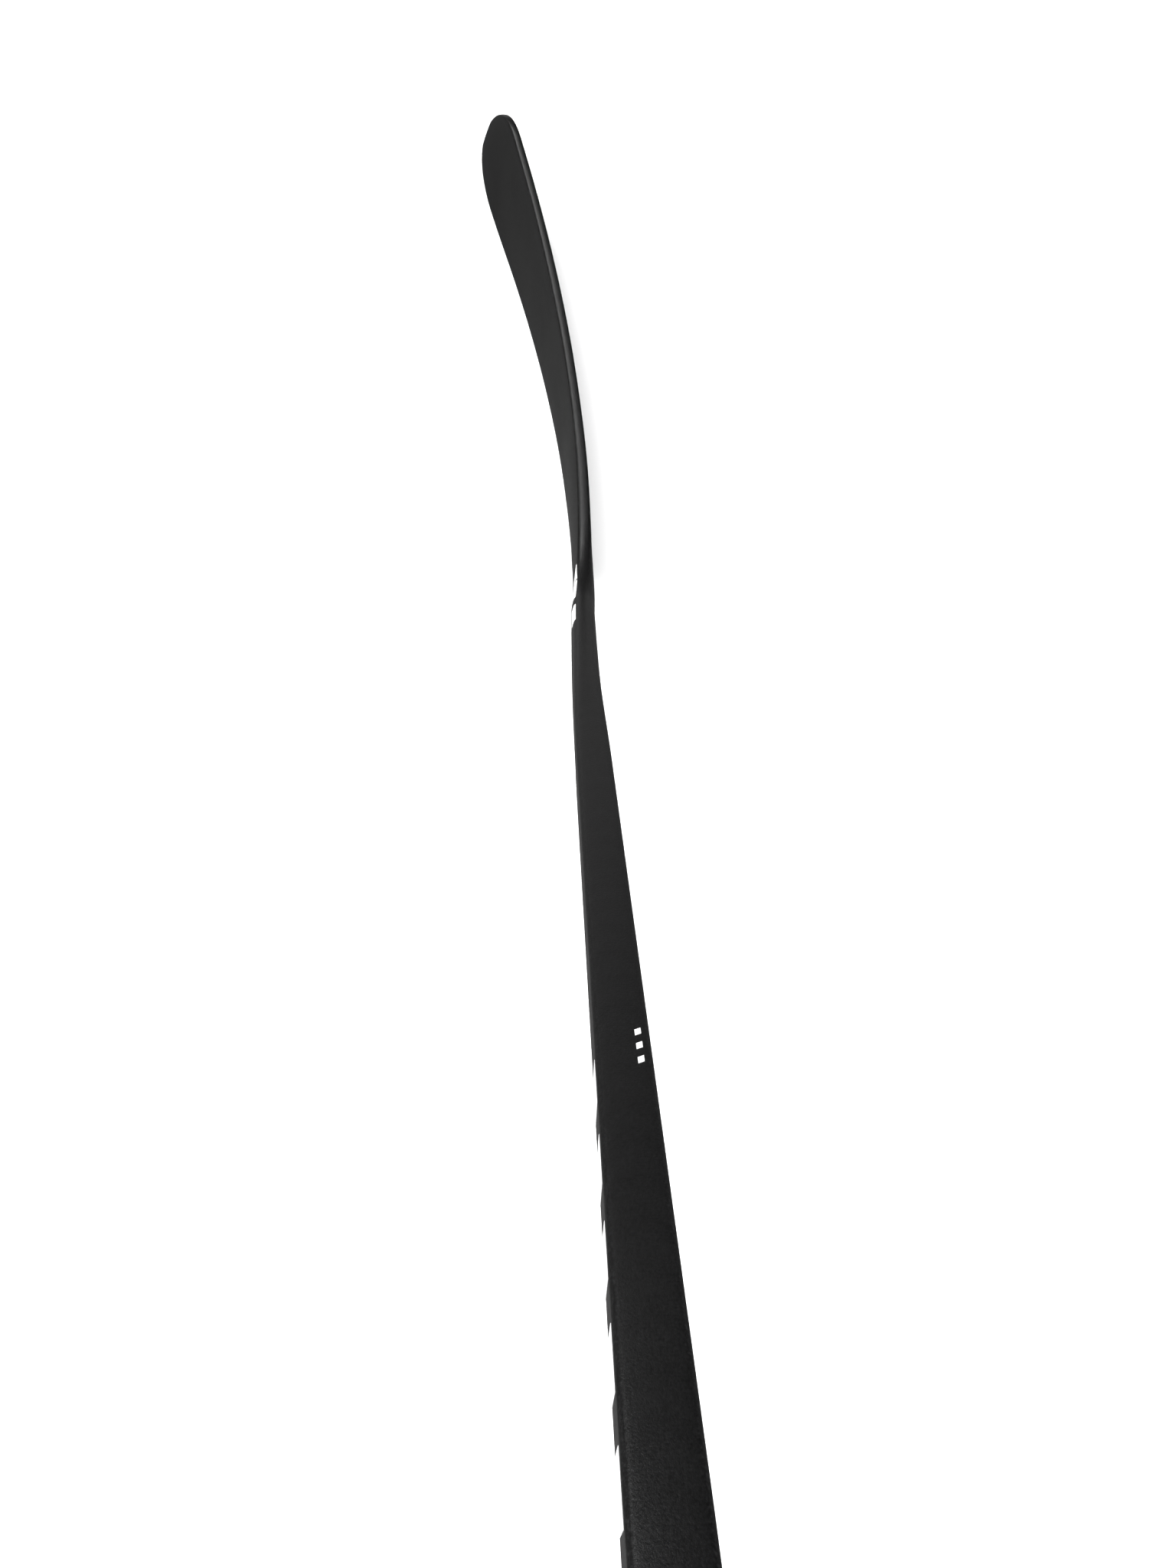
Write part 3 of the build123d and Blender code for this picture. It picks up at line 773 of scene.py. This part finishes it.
def ink_material():
    """Matt white ink with a fine screen texture and worn lengthwise streaks towards the butt."""
    finish = bpy.context.scene.hockey_finish
    nodes = Nodes("white ink")
    where = nodes.place((1, 1, 1), LIE)
    grain = nodes.noise(where, 1800.0, 2.0)
    streaks = nodes.noise(nodes.place((9, 700, 700), LIE), 2.0, 3.0)
    along = nodes.add("ShaderNodeSeparateXYZ", {"Vector": where}).outputs[0]
    worn = nodes.ramp(along, -WEAR_START, -WEAR_FULL) * nodes.ramp(streaks, 0.42, 0.60)
    colour = nodes.blend(worn, opaque(finish.ink), opaque(finish.faded_ink))
    colour = nodes.blend(nodes.ramp(grain, 0.35, 0.75, 0.0, 0.12), colour, opaque(finish.faded_ink))
    nodes.set(colour=colour, roughness=nodes.ramp(grain, 0.2, 0.8, 0.42, 0.56), specular=0.35)
    nodes.bump(grain, 0.00003, 0.4)
    return nodes.material


def cap_material():
    """Moulded matt plastic with a fine spark-eroded grain."""
    nodes = Nodes("cap plastic")
    where = nodes.place()
    grain = nodes.noise(where, 1300.0, 3.0)
    cloud = nodes.noise(where, 60.0, 2.0)
    colour = nodes.blend(nodes.ramp(cloud, 0.3, 0.7), (0.016, 0.016, 0.016, 1), (0.026, 0.026, 0.026, 1))
    nodes.set(colour=colour, roughness=nodes.ramp(grain, 0.3, 0.7, 0.55, 0.72), specular=0.4)
    nodes.bump(grain, 0.00008, 0.8)
    return nodes.material


def foam_material():
    """Rigid foam with open pores."""
    nodes = Nodes("core foam")
    where = nodes.place()
    pores = nodes.add("ShaderNodeTexVoronoi", {"Vector": where, "Scale": 900.0}).outputs["Distance"]
    cloud = nodes.noise(where, 45.0, 3.0)
    colour = nodes.blend(nodes.ramp(pores, 0.1, 0.6), (0.55, 0.47, 0.33, 1), (0.80, 0.74, 0.58, 1))
    colour = nodes.blend(cloud * 0.25, colour, (0.62, 0.52, 0.36, 1))
    nodes.set(colour=colour, roughness=nodes.ramp(cloud, 0.3, 0.7, 0.85, 0.95), specular=0.2)
    nodes.bump(pores, 0.0004, 0.9)
    return nodes.material


def carbon_material(turn):
    """Bare carbon laminate, with fibre bundles that cross."""
    nodes = Nodes("raw carbon")
    where = nodes.place((1, 1, 1), turn)
    cloth = weave(nodes, where, 0.0030)
    fibres = nodes.noise(nodes.place((40, 2500, 2500), turn), 2.0, 2.0)
    colour = nodes.blend(cloth, (0.012, 0.012, 0.013, 1), (0.045, 0.045, 0.048, 1))
    colour = nodes.blend(fibres * 0.35, colour, (0.07, 0.07, 0.075, 1))
    nodes.set(colour=colour, roughness=nodes.ramp(cloth, 0.0, 1.0, 0.34, 0.5), specular=0.5)
    nodes.bump(cloth + fibres * 0.4, 0.00015, 0.6)
    return nodes.material


def resin_material(name, dark, light, roughness):
    """Cured adhesive with soft waves and small bubbles."""
    nodes = Nodes(name)
    where = nodes.place()
    waves = nodes.noise(where, 120.0, 3.0)
    bubbles = nodes.add("ShaderNodeTexVoronoi", {"Vector": where, "Scale": 420.0}).outputs["Distance"]
    colour = nodes.blend(nodes.ramp(waves, 0.3, 0.7), dark, light)
    nodes.set(colour=colour, roughness=nodes.ramp(waves, 0.3, 0.7, roughness, roughness + 0.12), specular=0.5)
    nodes.bump(waves + nodes.ramp(bubbles, 0.0, 0.12, -1.0, 0.0), 0.0002, 0.5)
    return nodes.material


def damper_material():
    """Dense rubbery compound with mottling."""
    nodes = Nodes("toe damper")
    where = nodes.place()
    mottle = nodes.noise(where, 260.0, 4.0)
    colour = nodes.blend(nodes.ramp(mottle, 0.3, 0.7), (0.03, 0.03, 0.034, 1), (0.065, 0.065, 0.07, 1))
    nodes.set(colour=colour, roughness=nodes.ramp(mottle, 0.3, 0.7, 0.7, 0.85), specular=0.3)
    nodes.bump(mottle, 0.0002, 0.6)
    return nodes.material


def backdrop_material():
    """A pale, evenly glowing backdrop."""
    nodes = Nodes("backdrop")
    cloud = nodes.noise(nodes.place(), 0.2, 2.0)
    glow = nodes.blend(cloud, (0.90, 0.90, 0.90, 1), (0.86, 0.86, 0.86, 1))
    nodes.feed(nodes.shader.inputs["Emission Color"], glow)
    nodes.feed(nodes.shader.inputs["Emission Strength"], 1.0)
    nodes.set(colour=(0, 0, 0, 1), roughness=1.0, specular=0.0)
    return nodes.material


def floor_material():
    """A pale, matt studio floor with the faintest mottling."""
    finish = bpy.context.scene.hockey_finish
    nodes = Nodes("floor")
    mottle = nodes.noise(nodes.place(), 3.0, 3.0)
    darker = opaque([value * 0.985 for value in finish.floor])
    colour = nodes.blend(nodes.ramp(mottle, 0.3, 0.7), opaque(finish.floor), darker)
    nodes.set(colour=colour, roughness=nodes.ramp(mottle, 0.3, 0.7, 0.85, 0.95), specular=0.1)
    return nodes.material


# ---- stations along the stick ----

def below_the_wrap():
    """The slices that carry the blade's skins, from the joint's wrap to the toe."""
    shaft, blade = sizes()
    x, z, neck_above = throat_place()
    toe = BLADE_END + BLADE_TIP_CUT
    rounding = toe - blade.sole_round
    neck = [shaft_section(a) for a in between(shaft.joint_above - shaft.wrap_reach, neck_above, 22)]
    throat = [throat_section(turn) for turn in between(0, 1, 40)[1:]]
    body = [blade_section(at) for at in between(x, rounding, 70)[1:]]
    bends = [sin(share * pi / 2) for share in between(0, 1, 40)[1:]]
    tip = [blade_section(mix(rounding, toe, bend)) for bend in bends]
    return neck + throat + body + tip


def on_root(piece, node):
    """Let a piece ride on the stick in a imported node's stead."""
    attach(piece, "root")
    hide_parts(node)


# ---- operators ----

class HOCKEY_OT_shaft(bpy.types.Operator):
    """Build the shaft's tube and the wrap over the joint"""

    bl_idname = "hockey.shaft"
    bl_label = "Shaft and joint wrap"

    def execute(self, context):
        shaft = sizes()[0]
        lacquer = lacquer_material("shaft lacquer", LIE)
        low, high = shaft.joint_above - shaft.wrap_reach, shaft.joint_above + shaft.wrap_reach
        tube = tube_along_shaft("shaft_surface", high, shaft.length, shaft.wall, 110, lacquer)
        on_root(tube, "shaft_tube")
        wrap = tube_along_shaft("joint_wrap_surface", low, high, shaft.wrap_layer, 24, lacquer)
        on_root(wrap, "joint_wrap")
        return {"FINISHED"}


class HOCKEY_OT_blade(bpy.types.Operator):
    """Build the two halves of the blade's shell, from the joint to the toe"""

    bl_idname = "hockey.blade"
    bl_label = "Blade skins"

    def execute(self, context):
        lacquer = lacquer_material("blade lacquer", 0.0)
        for node, hand in (("blade_forehand_skin", 1), ("blade_backhand_skin", -1)):
            rings = [half_ring(section, hand) for section in below_the_wrap()]
            on_root(closed_strip(node + "_surface", rings, lacquer), node)
        return {"FINISHED"}


class HOCKEY_OT_prints(bpy.types.Operator):
    """Print the bars, the dashes and the neck's blocks"""

    bl_idname = "hockey.prints"
    bl_label = "Printed marks"

    def execute(self, context):
        ink = ink_material()
        on_root(bars_on_face("forehand_bars", 1, ink), "forehand_print")
        on_root(bars_on_face("backhand_bars", -1, ink), "backhand_print")
        on_root(dashes_on_face("toe_side_dashes", ink), "toe_side_print")
        on_root(self.blocks(ink), "neck_print")
        return {"FINISHED"}

    def blocks(self, ink):
        """A block on the neck, another in the throat and a pointed tail, as one piece."""
        marks = bpy.context.scene.hockey_print
        start = throat_place()[2] + marks.block_space
        on_neck = [shaft_section(above) for above in between(start + marks.block_length, start, 9)]
        in_throat = [throat_section(turn) for turn in between(0, marks.block_swing, 13)]
        tail_start = marks.block_swing + marks.tail_space
        in_tail = [throat_section(turn) for turn in between(tail_start, marks.tail_end, 15)]
        rows = ((on_neck, marks.block_height, marks.block_height),
                (in_throat, marks.block_height, marks.block_height),
                (in_tail, marks.tail_height, TAIL_POINT))
        work = bmesh.new()
        for sections, first, last in rows:
            heights = between(first, last, len(sections))
            wraps = [BLOCK_WRAP * high / marks.block_height for high in heights]
            slices = zip(sections, heights, wraps)
            rings = [film_ring(section, high, wrap, marks.film) for section, high, wrap in slices]
            block = closed_strip("block", rings, ink)
            work.from_mesh(block.data)
            bpy.data.objects.remove(block)
        mesh = bpy.data.meshes.new("neck_blocks")
        work.to_mesh(mesh)
        work.free()
        mesh.materials.append(ink)
        piece = bpy.data.objects.new("neck_blocks", mesh)
        bpy.context.scene.collection.objects.link(piece)
        return piece


class HOCKEY_OT_inner_pieces(bpy.types.Operator):
    """Give the end cap and the pieces inside the stick their materials"""

    bl_idname = "hockey.inner_pieces"
    bl_label = "End cap and inner pieces"

    def execute(self, context):
        foam = foam_material()
        carbon = carbon_material(0.0)
        finishes = {
            "end_cap": cap_material(),
            "end_cap_glue": resin_material("hot melt", (0.60, 0.50, 0.30, 1), (0.80, 0.72, 0.52, 1), 0.3),
            "tenon_bond": resin_material("epoxy", (0.38, 0.30, 0.15, 1), (0.58, 0.50, 0.30, 1), 0.2),
            "joint_tenon": carbon_material(LIE),
            "top_edge_tow": carbon,
            "sole_edge_tow": carbon,
            "blade_rib": carbon,
            "foam_stop": foam,
            "neck_core": foam,
            "upper_blade_core": foam,
            "lower_blade_core": foam,
            "toe_insert": damper_material(),
        }
        for name, material in finishes.items():
            node = frame["nodes"][name]
            node.data.materials.clear()
            node.data.materials.append(material)
        return {"FINISHED"}


CAMERA_PLACE = (-0.31646, 0.02299, 0.73807)
CAMERA_AIM = (-0.15622, -0.00543, 0.0)
CAMERA_RIGHT = (-0.03031, -0.99903, 0.03188)
CAMERA_LENS = 27.07
FLOOR_SIZE = 30.0
FLOOR_DROP = 0.0002
DOME_RADIUS = 0.49 * FLOOR_SIZE

# Each light's name, place, aim, size and power.
AREA_LIGHTS = (
    ("overhead", (-1.3, 0.4, 3.0), (-0.3, 0, 0), (3.0, 3.0), 130),
    ("forehand side", (-0.5, 2.6, 1.4), (-0.4, 0, 0.4), (2.0, 1.4), 30),
    ("ahead left", (1.64, 1.03, 2.25), (0.0, 0, 0.1), (0.5, 1.8), 38),
)
# The sky's brightness by height (-1 below, 1 above) and by side (-1 backhand, 1 forehand).
SKY_BY_HEIGHT = (
    (-1.0, 0.36), (-0.6, 0.40), (-0.4, 0.72), (-0.2, 0.36), (0.0, 0.15), (0.3, 0.05), (0.6, 0.05), (1.0, 0.3)
)
SKY_BY_SIDE = ((-0.8, 0.25), (-0.2, 0.55), (0.12, 1.0), (0.4, 0.5), (0.8, 0.30))


def area_light(name, place_at, aim_at, size, power):
    light = bpy.data.lights.new(name, "AREA")
    light.shape = "RECTANGLE"
    light.size, light.size_y = size
    light.energy = power
    obj = bpy.data.objects.new(name, light)
    obj.location = place_at
    obj.rotation_euler = (Vector(aim_at) - Vector(place_at)).to_track_quat("-Z", "Y").to_euler()
    bpy.context.scene.collection.objects.link(obj)


class HOCKEY_OT_stage(bpy.types.Operator):
    """Lay the floor, hang the lights and set up the camera"""

    bl_idname = "hockey.stage"
    bl_label = "Stage"

    def execute(self, context):
        self.floor()
        self.backdrop()
        self.sky(context.scene)
        for light in AREA_LIGHTS:
            area_light(*light)
        self.camera(context.scene)
        return {"FINISHED"}

    def floor(self):
        half = FLOOR_SIZE / 2
        mesh = bpy.data.meshes.new("floor")
        ends = ((-half, -half), (half, -half), (half, half), (-half, half))
        mesh.from_pydata([(x, y, -FLOOR_DROP) for x, y in ends], [], [(0, 1, 2, 3)])
        floor = bpy.data.objects.new("floor", mesh)
        floor.visible_glossy = False
        bpy.context.scene.collection.objects.link(floor)
        mesh.materials.append(floor_material())

    def backdrop(self):
        """A pale dome round the floor, which softly lights it; the sheen on the stick leaves it out."""
        work = bmesh.new()
        bmesh.ops.create_uvsphere(work, u_segments=48, v_segments=24, radius=DOME_RADIUS)
        below = [vertex for vertex in work.verts if vertex.co.z < -0.01]
        bmesh.ops.delete(work, geom=below, context="VERTS")
        bmesh.ops.reverse_faces(work, faces=work.faces)
        mesh = bpy.data.meshes.new("backdrop")
        work.to_mesh(mesh)
        work.free()
        mesh.shade_smooth()
        mesh.materials.append(backdrop_material())
        dome = bpy.data.objects.new("backdrop", mesh)
        dome.visible_glossy = False
        bpy.context.scene.collection.objects.link(dome)

    def sky(self, scene):
        world = bpy.data.worlds.new("studio")
        world.use_nodes = True
        scene.world = world
        sky = Graph()
        sky.tree = world.node_tree
        direction = sky.add("ShaderNodeTexCoord").outputs["Generated"]
        parts = sky.add("ShaderNodeSeparateXYZ", {0: direction}).outputs
        levels = []
        for output, stops in ((2, SKY_BY_HEIGHT), (1, SKY_BY_SIDE)):
            share = sky.add("ShaderNodeMapRange", {"Value": parts[output], "From Min": -1.0}).outputs[0]
            ramp = sky.add("ShaderNodeValToRGB", {0: share})
            for j, (at, level) in enumerate(stops):
                stop = ramp.color_ramp.elements[j] if j < 2 else ramp.color_ramp.elements.new(1.0)
                stop.position = (at + 1) / 2
                stop.color = (level, level, level, 1)
            levels.append(ramp.outputs[0])
        background = sky.tree.nodes["Background"]
        sky.feed(background.inputs["Color"], sky.math("MULTIPLY", *levels))
        background.inputs["Strength"].default_value = 1.0

    def camera(self, scene):
        data = bpy.data.cameras.new("camera")
        data.lens = CAMERA_LENS
        data.clip_start = 0.01
        camera = bpy.data.objects.new("camera", data)
        scene.collection.objects.link(camera)
        place_at = Vector(CAMERA_PLACE)
        forward = (Vector(CAMERA_AIM) - place_at).normalized()
        right = Vector(CAMERA_RIGHT).normalized()
        up = right.cross(forward)
        basis = [[right[i], up[i], -forward[i], place_at[i]] for i in range(3)] + [[0, 0, 0, 1]]
        camera.matrix_world = Matrix(basis)
        scene.camera = camera
        scene.view_settings.view_transform = "Standard"


class HOCKEY_PT_panel(bpy.types.Panel):
    """Lists the sizes, the finish and the steps"""

    bl_label = "Hockey stick"
    bl_idname = "HOCKEY_PT_panel"
    bl_space_type = "VIEW_3D"
    bl_region_type = "UI"
    bl_category = "Hockey stick"

    def draw(self, context):
        layout = self.layout
        for title, group in GROUPS.items():
            box = layout.box()
            settings = getattr(context.scene, title)
            for name in group.__annotations__:
                box.prop(settings, name)
        for step in STEPS:
            layout.operator(step.bl_idname)


GROUPS = {
    "hockey_shaft": HOCKEY_PG_shaft,
    "hockey_blade": HOCKEY_PG_blade,
    "hockey_finish": HOCKEY_PG_finish,
    "hockey_print": HOCKEY_PG_print,
}
STEPS = (HOCKEY_OT_shaft, HOCKEY_OT_blade, HOCKEY_OT_prints, HOCKEY_OT_inner_pieces, HOCKEY_OT_stage)


def register():
    for group in GROUPS.values():
        bpy.utils.register_class(group)
    for name, group in GROUPS.items():
        setattr(bpy.types.Scene, name, PointerProperty(type=group))
    for step in STEPS:
        bpy.utils.register_class(step)
    bpy.utils.register_class(HOCKEY_PT_panel)


def unregister():
    bpy.utils.unregister_class(HOCKEY_PT_panel)
    for step in reversed(STEPS):
        bpy.utils.unregister_class(step)
    for name, group in GROUPS.items():
        delattr(bpy.types.Scene, name)
        bpy.utils.unregister_class(group)


def main():
    register()
    for step in STEPS:
        area, name = step.bl_idname.split(".")
        getattr(getattr(bpy.ops, area), name)()


if __name__ == "__main__":
    main()
